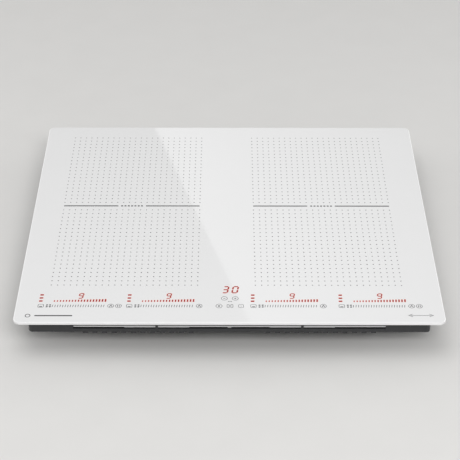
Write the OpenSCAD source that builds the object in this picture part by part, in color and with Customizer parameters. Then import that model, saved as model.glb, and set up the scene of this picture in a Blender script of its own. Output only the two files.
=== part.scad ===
// Built-in electric induction cooktop with four coils, a slider control strip
// and a stepped sheet-metal casing that hangs in a worktop cut-out.
// Frame: origin at the middle of the base, +Z up, the user stands at -Y.

/* [Glass] */
// Width of the glass, left to right
glass_w = 590; // [490:1:710]
// Depth of the glass, front to back
glass_d = 520; // [430:1:630]
// Thickness of the glass
glass_t = 4; // [3:0.5:6]
// Corner radius of the glass, seen from above
glass_corner_r = 10; // [6:1:20]
// Width of the ground bevel round the glass
glass_bevel = 1.2; // [0.4:0.1:2]
// Overall height, from the base to the top of the glass
height = 58; // [48:0.5:70]

/* [Casing] */
// Thickness of the sheet metal
sheet = 1; // [0.6:0.1:1.5]
// How far the glass stands out past the casing at each side
side_overhang = 18; // [15:1:24]
// How far the glass stands out past the casing at the front
front_overhang = 17; // [15:1:24]
// How far the glass stands out past the casing at the back
rear_overhang = 19; // [15:1:24]
// Depth of the wide upper pan, below the glass
pan_depth = 25.3; // [21:0.1:32]
// Corner radius of the pan and the tub, seen from above
pan_corner_r = 5.5; // [3:0.5:10]
// Width of the ledge between the pan's wall and the tub at each side
side_ledge = 22; // [18:1:28]
// Width of the ledge at the front
front_ledge = 47; // [39:1:57]
// Width of the ledge at the back
rear_ledge = 22; // [18:1:28]
// Width of the foam seal under the glass
seal_w = 8; // [5:1:10]
// Thickness of the foam seal
seal_t = 2; // [1.5:0.5:3]
// Distance from the glass edge to the foam seal
seal_inset = 3; // [3:0.5:5]

/* [Front slot and vents] */
// Width of the air slot in the front wall
slot_w = 430; // [350:1:500]
// Height of the wall left standing under the air slot
slot_sill = 5.7; // [4.5:0.1:8]
// Distance from the middle to each rib across the air slot
slot_rib_x = 100.3; // [80:0.1:130]
// Width of each rib
slot_rib_w = 3.5; // [2:0.5:8]
// Number of louvres in each of the two rows under the front edge
louvre_count = 12; // [8:1:13]
// Spacing of the louvres
louvre_pitch = 13.25; // [11:0.25:16]
// Distance from the middle to the first louvre
louvre_start = 53.1; // [40:0.1:60]
// How far a louvre stands proud of the pan floor
louvre_proud = 1.75; // [1:0.05:2.5]

/* [Coils] */
// Free space between a coil and the pan's side wall, averaged over both sides
coil_side_gap = 37.6; // [30:0.1:45]
// Free space between the left and the right coils
coil_centre_gap = 96.8; // [80:0.1:115]
// Free space between the front and the rear coil of one side
coil_row_gap = 20; // [10:1:30]
// Free space between the rear coils and the pan's rear wall
coil_rear_gap = 14; // [8:1:20]
// Space kept for the control strip, from the pan's front wall to the coils
strip_depth = 68; // [66:1:80]
// Offset of the coils and the mains parts from the middle of the glass
zone_shift = -4.3; // [-10:0.1:10]
// Thickness of the copper winding
winding_t = 4; // [3:0.5:6]
// Radius of the hole in the middle of the winding
winding_hole_r = 22; // [18:1:28]
// Thickness of the plastic former under the winding
former_t = 3; // [2:0.5:4]
// Thickness of the mica sheet between the winding and the glass
mica_t = 0.6; // [0.3:0.1:1]
// Number of ferrite bars under each coil
ferrite_count = 8; // [6:1:10]
// Thickness of a ferrite bar
ferrite_t = 4.5; // [3:0.5:5.5]
// Thickness of the aluminium plates that carry the coils
plate_t = 1.5; // [1:0.5:3]
// Outer diameter of the springs under the coils
spring_d = 9; // [7:0.5:12]

/* [Electronics] */
// Height of the board spacers
spacer_h = 7; // [5:0.5:9]
// Thickness of every circuit board
board_t = 1.6; // [1:0.1:2]
// Width of a heat sink
sink_w = 62; // [50:1:70]
// Number of fins on a heat sink
fin_count = 11; // [7:1:13]
// Side length of the fan housings
fan_size = 100; // [80:1:120]
// Radius of the fan rotors
rotor_r = 38; // [30:1:38]
// Number of blades on a rotor
blade_count = 28; // [20:1:36]
// Radial clearance between a fan shaft and its bearing tube
shaft_clearance = 0.05; // [0.02:0.01:0.1]

/* [Controls] */
// Depth of the touch carrier, front to back
carrier_d = 58; // [52:1:58]
// Height of the display modules
display_h = 7; // [5:0.5:8]
// Distance from the glass edge to the first key of the left sliders
slider_left_edge = 33.5; // [30:0.5:45]
// Distance from the last key of the right sliders to the glass edge
slider_right_edge = 19.5; // [10:0.5:40]
// Half of the width kept free for the keys in the middle
slider_centre_half = 17.5; // [15:0.5:30]

/* [Clamps and cable] */
// Length of a worktop clamp from its screw to its tip
clamp_reach = 34; // [28:1:44]
// Width of a clamp
clamp_w = 14; // [10:1:14]
// Thickness of a clamp
clamp_t = 2; // [1.5:0.5:3]
// Distance from the ledge down to the clamp's arm
clamp_drop = 10.7; // [9:0.1:13]
// Distance from the casing's front and rear walls to the clamp screws
clamp_end = 92; // [60:1:140]
// Diameter of the clamp screws
clamp_screw_d = 4; // [3:0.5:5]
// Radial clearance between a clamp and its screw
clamp_clearance = 0.08; // [0.03:0.01:0.1]
// Bore of the cable gland
gland_bore_d = 12; // [8:0.5:14]
// Length of the cable gland
gland_len = 18; // [14:1:20]

/* [Hidden] */
$fn = 48;
eps = 0.01;

// Casing: walls, floors and inner faces
glass_z = height - glass_t;
pan_x = glass_w / 2 - side_overhang;
pan_front = -glass_d / 2 + front_overhang;
pan_rear = glass_d / 2 - rear_overhang;
ledge_z = glass_z - pan_depth;
tub_x = pan_x - side_ledge;
tub_front = pan_front + front_ledge;
tub_rear = pan_rear - rear_ledge;
frame_flange = 9;
frame_skirt = 10;
frame_gap = 0.2;
wall_top = glass_z - sheet;
slot_bottom = ledge_z + slot_sill;
slot_band = 2;
slot_top = wall_top - slot_band;
louvre_w = 7;
louvre_len = 20;
louvre_wall = 0.8;
rear_slot_count = 13;
rear_slot_pitch = 9;
rear_slot_lift = 3;
rear_slot_inset = 110;
rear_slot_top = wall_top - frame_skirt - 2;
air_slot_w = 3;
floor_slot_count = 14;
floor_slot_pitch = 9;
floor_slot_len = 26;
floor_slot_end = 40;
screw_r = 1.5;
screw_play = 0.1;
screw_drop = 7;
screw_end = 60;
screw_z = glass_z - screw_drop;
screw_xs = [for (i = [-1:1]) i * (pan_x - screw_end)];
cross_w = 0.6;
cross_len = 3.2;

// Coils: the largest that both the width and the depth of the pan leave room for
pan_in_w = 2 * (pan_x - sheet);
pan_in_d = pan_rear - pan_front - 2 * sheet;
coil_d_by_width = (pan_in_w - 2 * coil_side_gap - coil_centre_gap) / 2;
coil_d_by_depth = (pan_in_d - strip_depth - coil_row_gap - coil_rear_gap) / 2;
coil_r = min(coil_d_by_width, coil_d_by_depth) / 2;
zone_half = coil_d_by_width / 2 + coil_centre_gap / 2;
coil_rear_y = pan_rear - sheet - coil_rear_gap - coil_r;
coil_front_y = coil_rear_y - 2 * coil_r - coil_row_gap;
former_rim = 4;
former_z = glass_z - mica_t - winding_t - former_t;
winding_z = former_z + former_t;
ferrite_w = 12;
sensor_r = 6;
sensor_gap = 1.2;
spring_at = coil_r * 0.78;

// Coil plates and their pillars
plate_lift = 4.3;
plate_z = ledge_z + sheet + plate_lift;
plate_front = coil_front_y - coil_r - 2;
plate_rear = coil_rear_y + coil_r + 2;
pillar_r = 3.5;
pillar_thread = 8;
plate_head_r = 2.8;
plate_head_h = 2;
pillar_inset = 9;
pillar_wall_gap = 3.8;
pillar_dx = tub_x - sheet - abs(zone_shift) - zone_half - pillar_r - pillar_wall_gap;
plate_half_w = pillar_dx + pillar_inset;
pillar_rear_y = tub_rear - sheet - pillar_inset;
pillar_front_y = tub_front + sheet + pillar_inset;
lead_r = 1.5;
lead_half = 2;
lead_y = winding_hole_r + 2.5;

// Fans, in the bay below the plates
fan_gap = 8;
fan_y = tub_rear - sheet - fan_gap - fan_size / 2;
fan_wall = 2;
fan_h = plate_z - 6 - sheet;
fan_top = sheet + fan_h;
shaft_r = 1.5;
hub_r = 18;
stator_r = 13;

// Power boards: between the tub's front wall and the fans, and between the pillars
board_gap = 3;
board_half_w = pillar_dx - pillar_r - board_gap;
board_front = tub_front + sheet + fan_gap;
board_rear = fan_y - fan_size / 2 - fan_gap;
board_z = sheet + spacer_h;
board_top = board_z + board_t;
board_d = board_rear - board_front;
spacer_inset = 6;
spacer_r = 3;
spacer_pin_r = 1.5;
spacer_hole_r = 1.6;
part_top = plate_z - 2.4;
transistor_t = 5;
sink_base = 4;
fin_t = 2;
sink_len = board_d - 60;
sink_front = board_front + 46;
part_gap = 0.5;
sink_x = -sink_w / 2 - part_gap;
sink_z = board_top + transistor_t;
lead_x = sink_x + sink_w / 2 + lead_half + lead_r + part_gap;
cap_x = lead_x + lead_half + lead_r + part_gap;
cap_w = min(board_half_w - 4 - cap_x, 42);

// Mains parts, in the middle between the boards
filter_half_w = min(30, zone_half - board_half_w - board_gap);
terminal_count = 5;
terminal_h = 19;
terminal_arch = 5;
terminal_bore_r = 2.6;
terminal_bore_z = 15;
terminal_back = 5;
wire_hole_w = 5;
wire_hole_z = 8;
terminal_w = 2 * filter_half_w - 4;
terminal_d = 26;
terminal_y = tub_rear - sheet - 38;
filter_rear = terminal_y - terminal_d / 2 - 14;
filter_front = board_front + 30;
door_w = terminal_w + 14;
door_d = terminal_d + 26;
door_t = 1.5;
door_gap = 0.3;
gland_z = (ledge_z + 0.3) / 2;
gland_r = gland_bore_d / 2 + 2.5;
gland_flange_r = gland_r + 2.5;

// Control strip
carrier_half_w = pan_x - 2 * sheet - frame_gap - 2.8;
carrier_rear = pan_front + sheet + strip_depth - 3;
carrier_front = carrier_rear - carrier_d;
touch_top = glass_z - 0.4 - display_h;
touch_z = touch_top - board_t;
carrier_t = 4;
carrier_rim = 2;
carrier_z = touch_z - carrier_t;
slider_span = (glass_w / 2 - slider_left_edge - slider_centre_half) / 2;
slider_right = glass_w / 2 - slider_right_edge - 2 * slider_span;
slider_x = [
    -glass_w / 2 + slider_left_edge,
    -glass_w / 2 + slider_left_edge + slider_span,
    slider_right,
    slider_right + slider_span
];
bar_start = 18;
bar_len = slider_span - 48;
digit_at = bar_start + bar_len / 2;
digit_y = pan_front + 44.5;
bar_y = pan_front + 33.5;
key_y = pan_front + 20.5;
clock_y = pan_front + 57;
key_count = 8;
key_r = 2.8;
centre_keys = [-15, 0.5, 16];
boss_r = 4;
boss_xs = [for (i = [-2 : 2]) i * (carrier_half_w - 12) / 2];
boss_y = (max(carrier_front + 5, pan_front + sheet + 5) + tub_front - 6) / 2;
screw_ys = [carrier_rear + 20, (carrier_rear + pan_rear) / 2, pan_rear - screw_end];
deflector_t = 1;
deflector_front = pan_front + sheet + 0.5;
deflector_lift = 1.7;
deflector_end = 3;
deflector_lip = 45;
deflector_lip_h = 0.9;
deflector_tab_h = 1.6;

// Clamps under the side ledges
clamp_x = pan_x - side_ledge / 2;
clamp_front_y = pan_front + clamp_end;
clamp_rear_y = pan_rear - clamp_end;
clamp_z = ledge_z - clamp_drop - clamp_t;
clamp_collar_r = clamp_screw_d / 2 + 3;
clamp_play = 0.3;
head_h = 2.6;

// ---------------------------------------------------------------- plain shapes

// Rounded rectangle between two corners
module round_rect(x0, y0, x1, y1, r) {
    translate([x0 + r, y0]) square([x1 - x0 - 2 * r, y1 - y0]);
    translate([x0, y0 + r]) square([x1 - x0, y1 - y0 - 2 * r]);
    for (x = [x0 + r, x1 - r])
        for (y = [y0 + r, y1 - r])
            translate([x, y]) circle(r);
}

// Upright block between two corners
module block(x0, y0, z0, x1, y1, z1) {
    translate([x0, y0, z0]) cube([x1 - x0, y1 - y0, z1 - z0]);
}

// Upright round bar
module rod(x, y, z0, z1, r) {
    translate([x, y, z0]) cylinder(h = z1 - z0, r = r);
}

// Upright tube
module tube(x, y, z0, z1, r, bore_r) {
    translate([x, y, z0]) difference() {
        cylinder(h = z1 - z0, r = r);
        translate([0, 0, -eps]) cylinder(h = z1 - z0 + 2 * eps, r = bore_r);
    }
}

// ---------------------------------------------------------------- glass and casing

module bevel_profile(half) {
    polygon([
        [0, 0], [half - 0.4, 0], [half, 0.4], [half, glass_t - glass_bevel / 2],
        [half - glass_bevel, glass_t], [0, glass_t]
    ]);
}

module full_profile(half) {
    bevel_profile(half);
    mirror([1, 0]) bevel_profile(half);
}

module glass_top() {
    r = glass_corner_r;
    color("white") translate([0, 0, glass_z]) union() {
        translate([-glass_w / 2 + r, 0, 0]) rotate([90, 0, 90])
            linear_extrude(glass_w - 2 * r) full_profile(glass_d / 2);
        translate([0, glass_d / 2 - r, 0]) rotate([90, 0, 0])
            linear_extrude(glass_d - 2 * r) full_profile(glass_w / 2);
        for (x = [-1, 1])
            for (y = [-1, 1])
                translate([x * (glass_w / 2 - r), y * (glass_d / 2 - r), 0])
                    rotate_extrude() bevel_profile(r);
    }
}

module ring_outline(inset, r) {
    round_rect(-glass_w / 2 + inset, -glass_d / 2 + inset, glass_w / 2 - inset, glass_d / 2 - inset, r);
}

module foam_seal() {
    color("dimgray") translate([0, 0, glass_z - seal_t]) linear_extrude(seal_t) difference() {
        ring_outline(seal_inset, glass_corner_r - seal_inset);
        ring_outline(seal_inset + seal_w, 2);
    }
}

module pan_outline(inset) {
    round_rect(-pan_x + inset, pan_front + inset, pan_x - inset, pan_rear - inset,
               max(0.5, pan_corner_r - inset));
}

module tub_outline(inset) {
    round_rect(-tub_x + inset, tub_front + inset, tub_x - inset, tub_rear - inset,
               max(0.5, pan_corner_r - inset));
}

// Places of the side and rear casing screws, pointing outwards from the wall
module at_casing_screws() {
    for (s = [-1, 1])
        for (y = screw_ys)
            translate([s * pan_x, y, screw_z]) rotate([0, s * 90, 0]) children();
    for (x = screw_xs)
        translate([x, pan_rear, screw_z]) rotate([-90, 0, 0]) children();
}

// Places of the two screws that hold the terminal door
module at_door_screws() {
    for (s = [-1, 1])
        translate([zone_shift, terminal_y + s * (door_d / 2 - 5), 0]) children();
}

// Countersunk screw head and shank, grown by a gap where it is a hole
module countersunk(gap) {
    translate([0, 0, -gap]) cylinder(h = 1.2 + gap, r1 = 2.6 + gap, r2 = screw_r + gap);
    cylinder(h = 6, r = screw_r + gap);
}

module glass_frame() {
    in = sheet + frame_gap;
    color("silver") difference() {
        union() {
            translate([0, 0, wall_top]) linear_extrude(sheet) difference() {
                pan_outline(0);
                pan_outline(frame_flange);
            }
            translate([0, 0, wall_top - frame_skirt]) linear_extrude(frame_skirt) difference() {
                pan_outline(in);
                pan_outline(in + sheet);
            }
        }
        block(-slot_w / 2 - 4, pan_front - 1, wall_top - frame_skirt - 1,
              slot_w / 2 + 4, pan_front + 8, wall_top);
        at_casing_screws() translate([0, 0, -8]) cylinder(h = 8, r = screw_r + screw_play);
    }
}

module casing_screws() {
    color("silver") {
        at_casing_screws() {
            translate([0, 0, -7]) cylinder(h = 7, r = screw_r);
            difference() {
                cylinder(h = 1.8, r1 = 2.8, r2 = 2.2);
                for (a = [0, 90])
                    rotate([0, 0, a]) translate([-cross_len / 2, -cross_w / 2, 1])
                        cube([cross_len, cross_w, 1]);
            }
        }
        at_door_screws() difference() {
            countersunk(0);
            for (a = [0, 90])
                rotate([0, 0, a]) translate([-cross_len / 2, -cross_w / 2, -1])
                    cube([cross_len, cross_w, 1.6]);
        }
    }
}

module front_window() {
    difference() {
        block(-slot_w / 2, pan_front - 1, slot_bottom, slot_w / 2, pan_front + sheet + 1, slot_top);
        for (s = [-1, 1])
            translate([s * slot_rib_x - slot_rib_w / 2, pan_front - 2, slot_bottom - 1])
                cube([slot_rib_w, sheet + 4, slot_top - slot_bottom + 2]);
    }
}

module at_louvres() {
    for (s = [-1, 1])
        for (i = [0 : louvre_count - 1])
            translate([s * (louvre_start + i * louvre_pitch), pan_front, ledge_z]) children();
}

module louvre_hood() {
    translate([-louvre_w / 2, 0, -louvre_proud]) cube([louvre_w, louvre_len, louvre_proud]);
}

module louvre_hollow() {
    w = louvre_w - 2 * louvre_wall;
    translate([-w / 2, sheet, -louvre_proud + louvre_wall])
        cube([w, louvre_len, louvre_proud + sheet]);
}

module fan_grille() {
    for (r = [7 : 6 : rotor_r - 7])
        difference() {
            translate([0, 0, -1]) cylinder(h = sheet + 2, r = r + 4);
            translate([0, 0, -2]) cylinder(h = sheet + 4, r = r);
            for (a = [0, 60, 120])
                rotate([0, 0, a]) translate([-rotor_r, -1.5, -2]) cube([2 * rotor_r, 3, sheet + 4]);
        }
}

module slot_row(count, pitch, length, z0, z1) {
    for (i = [0 : count - 1])
        block((i - (count - 1) / 2) * pitch - air_slot_w / 2, -length / 2, z0,
              (i - (count - 1) / 2) * pitch + air_slot_w / 2, length / 2, z1);
}

module bottom_tray() {
    color("#3a3c3e") difference() {
        union() {
            translate([0, 0, ledge_z]) linear_extrude(wall_top - ledge_z) pan_outline(0);
            linear_extrude(ledge_z + sheet) tub_outline(0);
            at_louvres() louvre_hood();
        }
        difference() {
            union() {
                translate([0, 0, ledge_z + sheet]) linear_extrude(height) pan_outline(sheet);
                translate([0, 0, sheet]) linear_extrude(ledge_z + 1) tub_outline(sheet);
            }
            // Raised seat of the terminal door
            block(zone_shift - door_w / 2 - 2, terminal_y - door_d / 2 - 2, 0,
                  zone_shift + door_w / 2 + 2, terminal_y + door_d / 2 + 2, sheet + door_t);
        }
        block(zone_shift - door_w / 2, terminal_y - door_d / 2, -1,
              zone_shift + door_w / 2, terminal_y + door_d / 2, door_t);
        block(zone_shift - terminal_w / 2, terminal_y - terminal_d / 2 - 8, -1,
              zone_shift + terminal_w / 2, terminal_y + terminal_d / 2 + 8, sheet + door_t + 1);
        front_window();
        at_louvres() louvre_hollow();
        for (s = [-1, 1]) {
            translate([zone_shift + s * zone_half, fan_y, 0]) fan_grille();
            for (k = [0 : 2])
                translate([zone_shift + s * zone_half,
                           board_front + floor_slot_end + k * (board_d - 2 * floor_slot_end) / 2, 0])
                    slot_row(floor_slot_count, floor_slot_pitch, floor_slot_len, -1, sheet + 1);
            translate([s * (pan_x - rear_slot_inset), pan_rear - sheet / 2, 0])
                slot_row(rear_slot_count, rear_slot_pitch, sheet + 2,
                         ledge_z + sheet + rear_slot_lift, rear_slot_top);
            for (y = [clamp_front_y, clamp_rear_y])
                rod(s * clamp_x, y, ledge_z - 1, ledge_z + sheet + 1, clamp_screw_d / 2 + 0.2);
        }
        at_casing_screws() translate([0, 0, -4]) cylinder(h = 5, r = screw_r + screw_play);
        at_door_screws() cylinder(h = 8, r = screw_r + screw_play);
        translate([zone_shift, tub_rear - sheet - 1, gland_z]) rotate([-90, 0, 0])
            cylinder(h = sheet + 2, r = gland_r + 0.1);
    }
}

// Bent strip behind the front slot, which turns the warm air down and forwards
module air_deflector() {
    low = slot_bottom + deflector_lift;
    half = slot_w / 2 + deflector_end;
    color("gainsboro") union() {
        block(-half, deflector_front, low, half, deflector_front + deflector_t, carrier_z + carrier_t);
        block(-half, deflector_front, carrier_z + carrier_t - deflector_t,
              half, carrier_front, carrier_z + carrier_t);
        for (s = [-1, 1])
            block(s * slot_rib_x - deflector_lip, deflector_front, low - deflector_lip_h,
                  s * slot_rib_x + deflector_lip, deflector_front + deflector_t, low);
        block(-2.5, deflector_front, low - deflector_tab_h, 2.5, deflector_front + deflector_t, low);
    }
}

// ---------------------------------------------------------------- coils

module at_coil(sx, rear) {
    translate([zone_shift + sx * zone_half, rear ? coil_rear_y : coil_front_y, 0]) children();
}

// Flat spiral: separate turns of litz wire, lying side by side in rings
module coil_winding() {
    wire = 3.2;
    turns = floor((coil_r - former_rim - winding_hole_r) / wire);
    color("#b5672f") for (i = [0 : turns - 1])
        tube(0, 0, winding_z + (i % 2) * 0.3, glass_z - mica_t - ((i + 1) % 2) * 0.3,
             winding_hole_r + (i + 1) * wire, winding_hole_r + i * wire - (i > 0 ? eps : 0));
}

module coil_former() {
    color("#2b2b2b") difference() {
        rod(0, 0, former_z, former_z + former_t, coil_r);
        rod(0, 0, former_z - 1, former_z + former_t + 1, sensor_r + sensor_gap);
        for (k = [0 : ferrite_count - 1])
            rotate([0, 0, (k + 0.5) * 360 / ferrite_count])
                block(winding_hole_r + 10, -5, former_z - 1,
                      spring_at - spring_d / 2 - 3, 5, former_z + former_t + 1);
        for (s = [-1, 1])
            rod(lead_x + s * lead_half, -lead_y, former_z - 1, former_z + former_t + 1, lead_r + 0.4);
    }
}

module mica_sheets() {
    color("#cfc6ae") at_all_coils()
        tube(0, 0, glass_z - mica_t, glass_z, coil_r - 1, sensor_r + sensor_gap);
}

module ferrite_bars() {
    color("#3b3b40") for (k = [0 : ferrite_count - 1])
        rotate([0, 0, k * 360 / ferrite_count])
            block(winding_hole_r + 8, -ferrite_w / 2, former_z - ferrite_t,
                  coil_r - 10, ferrite_w / 2, former_z);
}

// Temperature feelers in the middle of the coils, pressed up against the glass
module heat_sensors() {
    color("beige") at_all_coils() union() {
        rod(0, 0, former_z - 2, glass_z - 1.6, 3);
        rod(0, 0, former_z - 2, former_z, sensor_r + 3);
        rod(0, 0, glass_z - 1.6, glass_z, sensor_r);
    }
}

module at_springs() {
    for (k = [0 : 2])
        rotate([0, 0, (k * floor(ferrite_count / 3) + 0.5) * 360 / ferrite_count])
            translate([spring_at, 0, 0]) children();
}

module at_all_coils() {
    for (s = [-1, 1])
        for (rear = [false, true])
            at_coil(s, rear) children();
}

// Stands for the coil springs: a plain sleeve of the spring's own size
module coil_springs() {
    color("silver") at_all_coils() at_springs()
        tube(0, 0, plate_z + plate_t, former_z, spring_d / 2, spring_d / 2 - 1);
}

// One lead from its winding down to the board, along a lane beside the heat sink
module coil_lead(x, y) {
    drop_y = min(y, board_rear - 6);
    lane_z = plate_z - 3;
    rod(x, y, lane_z, winding_z, lead_r);
    rod(x, drop_y, board_top, lane_z, lead_r);
    translate([x, y, lane_z]) sphere(lead_r);
    translate([x, drop_y, lane_z]) sphere(lead_r);
    if (drop_y < y)
        translate([x, drop_y, lane_z]) rotate([-90, 0, 0]) cylinder(h = y - drop_y, r = lead_r);
}

module coil_leads() {
    color("#c04030") for (s = [-1, 1])
        for (y = [coil_front_y, coil_rear_y])
            for (side = [-1, 1])
                coil_lead(zone_shift + s * zone_half + lead_x + side * lead_half, y - lead_y);
}

module coil_plate(s) {
    x0 = zone_shift + s * zone_half;
    color("silver") difference() {
        translate([0, 0, plate_z]) linear_extrude(plate_t) difference() {
            round_rect(x0 - plate_half_w, plate_front, x0 + plate_half_w, plate_rear, 6);
            for (y = [coil_front_y, coil_rear_y])
                translate([x0, y]) circle(lead_y + lead_r + 2);
        }
        for (sx = [-1, 1])
            for (y = [pillar_front_y, pillar_rear_y])
                rod(x0 + sx * pillar_dx, y, plate_z - 1, plate_z + plate_t + 1, screw_r + screw_play);
    }
}

module at_pillars() {
    for (s = [-1, 1])
        for (sx = [-1, 1])
            for (y = [pillar_front_y, pillar_rear_y])
                translate([zone_shift + s * zone_half + sx * pillar_dx, y, 0]) children();
}

module plate_pillars() {
    color("goldenrod") at_pillars() difference() {
        rod(0, 0, sheet, plate_z, pillar_r);
        rod(0, 0, plate_z - pillar_thread, plate_z + 1, screw_r + 0.05);
    }
}

module plate_screws() {
    color("silver") at_pillars() difference() {
        union() {
            rod(0, 0, plate_z - pillar_thread + 1, plate_z + plate_t, screw_r);
            rod(0, 0, plate_z + plate_t, plate_z + plate_t + plate_head_h, plate_head_r);
        }
        translate([-0.4, -3, plate_z + plate_t + 1.2]) cube([0.8, 6, 1]);
    }
}

// ---------------------------------------------------------------- power electronics

module at_board(s) {
    translate([zone_shift + s * zone_half, 0, 0]) children();
}

module power_board(s) {
    color("darkgreen") at_board(s) difference() {
        translate([0, 0, board_z]) linear_extrude(board_t)
            round_rect(-board_half_w, board_front, board_half_w, board_rear, 2);
        for (x = [-1, 1])
            for (y = [board_front + spacer_inset, board_rear - spacer_inset])
                rod(x * (board_half_w - spacer_inset), y, board_z - 1, board_top + 1, spacer_hole_r);
    }
}

module board_spacers() {
    color("ivory") {
        for (s = [-1, 1])
            at_board(s)
                for (x = [-1, 1])
                    for (y = [board_front + spacer_inset, board_rear - spacer_inset])
                        spacer(x * (board_half_w - spacer_inset), y);
        for (x = [-1, 1])
            for (y = [filter_front + spacer_inset, filter_rear - spacer_inset])
                spacer(zone_shift + x * (filter_half_w - spacer_inset), y);
    }
}

module spacer(x, y) {
    rod(x, y, sheet, board_z, spacer_r);
    rod(x, y, board_z, board_top + 2, spacer_pin_r);
}

// Extruded aluminium profile whose fins run front to back
module heat_sink(s) {
    pitch = (sink_w - fin_t) / (fin_count - 1);
    color("silver") at_board(s) {
        block(sink_x - sink_w / 2, sink_front, sink_z,
              sink_x + sink_w / 2, sink_front + sink_len, sink_z + sink_base);
        for (i = [0 : fin_count - 1])
            block(sink_x - sink_w / 2 + i * pitch, sink_front, sink_z + sink_base - eps,
                  sink_x - sink_w / 2 + i * pitch + fin_t, sink_front + sink_len, part_top);
    }
}

module power_transistors() {
    color("#222222") for (s = [-1, 1])
        at_board(s)
            for (i = [0 : 3])
                translate([sink_x - 8, sink_front + 12 + i * (sink_len - 42) / 3, board_top])
                    cube([16, 20, transistor_t]);
}

module resonance_capacitors() {
    color("gold") for (s = [-1, 1])
        at_board(s)
            for (i = [0 : 3])
                translate([cap_x, board_front + 12 + i * (board_d - 44) / 4, board_top])
                    cube([cap_w, 18, part_top - board_top]);
}

module ring_core(r, thick, z0) {
    translate([0, 0, z0 + thick / 2]) rotate_extrude() translate([r, 0]) circle(thick / 2);
}

module board_chokes() {
    color("#8a5a20") for (s = [-1, 1])
        at_board(s)
            translate([cap_x + 18, board_rear - 20, 0]) ring_core(9, 12, board_top);
}

module bridge_rectifiers() {
    color("#1c1c1c") for (s = [-1, 1])
        at_board(s)
            translate([sink_x - 14, board_front + 16, board_top]) cube([28, 14, 12]);
}

module filter_board() {
    color("darkgreen") difference() {
        translate([0, 0, board_z]) linear_extrude(board_t)
            round_rect(zone_shift - filter_half_w, filter_front, zone_shift + filter_half_w, filter_rear, 2);
        for (x = [-1, 1])
            for (y = [filter_front + spacer_inset, filter_rear - spacer_inset])
                rod(zone_shift + x * (filter_half_w - spacer_inset), y,
                    board_z - 1, board_top + 1, spacer_hole_r);
    }
}

module filter_choke() {
    color("#8a5a20") translate([zone_shift, (filter_front + filter_rear) / 2, 0])
        ring_core(13, 14, board_top);
}

module supply_transformer() {
    y = filter_front + (filter_rear - filter_front) * 0.33;
    color("#c9a227") translate([zone_shift, y, 0]) {
        block(-11, -9, board_top, 11, 9, board_top + 3);
        block(-7, -9, board_top + 3, 7, 9, board_top + 15);
        block(-11, -9, board_top + 15, 11, 9, board_top + 18);
    }
}

module filter_capacitors() {
    color("khaki") for (i = [-1, 1])
        translate([zone_shift, (filter_front + filter_rear) / 2 + i * (filter_rear - filter_front) * 0.32, 0])
            block(-13, -8, board_top, 13, 8, min(board_top + 20, part_top));
}

// ---------------------------------------------------------------- fans

module fan_outline(wall) {
    r = fan_size / 2 - wall;
    circle(r);
    translate([-r, -fan_size / 2]) square([r + 20 - wall, fan_size / 2]);
}

// Spiral blower: takes air in through the tray floor and blows it over the heat sinks
module fan_housing(s) {
    color("#26282a") translate([zone_shift + s * zone_half, fan_y, 0]) {
        difference() {
            translate([0, 0, sheet]) linear_extrude(fan_h) fan_outline(0);
            translate([0, 0, sheet + fan_wall]) linear_extrude(fan_h - 2 * fan_wall)
                union() {
                    fan_outline(fan_wall);
                    translate([-fan_size / 2 + fan_wall, -fan_size / 2 - 1])
                        square([fan_size / 2 + 20 - 2 * fan_wall, 4]);
                }
            rod(0, 0, sheet - 1, sheet + fan_wall + 1, rotor_r - 4);
        }
        tube(0, 0, sheet + 12, fan_top - fan_wall + eps, 4.5, shaft_r + shaft_clearance);
        difference() {
            rod(0, 0, sheet + 13, fan_top - fan_wall - 4, stator_r);
            rod(0, 0, sheet + 12, fan_top, 4.5 - eps);
        }
    }
}

module fan_rotor(s) {
    low = sheet + fan_wall + 3;
    high = fan_top - fan_wall - 2;
    color("#dcdcd4") translate([zone_shift + s * zone_half, fan_y, 0]) {
        rod(0, 0, low + 2, low + 4, hub_r);
        rod(0, 0, low + 4 - eps, fan_top - fan_wall - 0.5, shaft_r);
        tube(0, 0, low + 4 - eps, high, hub_r, hub_r - 2);
        tube(0, 0, high - 1.5, high, rotor_r, hub_r - eps);
        tube(0, 0, low, low + 1.5, rotor_r, rotor_r - 2);
        for (k = [0 : blade_count - 1])
            rotate([0, 0, k * 360 / blade_count]) translate([rotor_r - 5, 0, low + 0.5])
                rotate([0, 0, 35]) translate([-4.6, -0.5, 0]) cube([8, 1, high - low - 1]);
    }
}

// ---------------------------------------------------------------- control strip

module touch_carrier() {
    color("#202124") {
        difference() {
            block(-carrier_half_w, carrier_front, carrier_z, carrier_half_w, carrier_rear, touch_top + 3);
            block(-carrier_half_w + carrier_rim, carrier_front + carrier_rim, touch_z,
                  carrier_half_w - carrier_rim, carrier_rear - carrier_rim, touch_top + 4);
            for (i = [-4 : 4])
                block(i * carrier_half_w / 5 - 18, carrier_front + 30, carrier_z - 1,
                      i * carrier_half_w / 5 + 18, carrier_rear - 8, touch_z + 1);
        }
        for (x = boss_xs)
            rod(x, boss_y, ledge_z + sheet, carrier_z + eps, boss_r);
    }
}

module touch_board() {
    gap = carrier_rim + 0.3;
    color("darkgreen") block(-carrier_half_w + gap, carrier_front + gap, touch_z,
                             carrier_half_w - gap, carrier_rear - gap, touch_top);
}

module display_modules() {
    color("#101010") {
        for (x = slider_x)
            block(x + digit_at - 7, digit_y - 6, touch_top,
                  x + digit_at + 7, digit_y + 10, touch_top + display_h);
        block(-14, clock_y - 7, touch_top, 17, clock_y + 6, touch_top + display_h);
    }
}

module bar_lights() {
    color("#e8e4dc") for (x = slider_x) {
        block(x + bar_start, bar_y - 4, touch_top, x + bar_start + bar_len, bar_y + 4, touch_top + display_h);
        block(x - 4, bar_y - 4, touch_top, x + 4, bar_y + 18, touch_top + display_h);
    }
}

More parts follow.
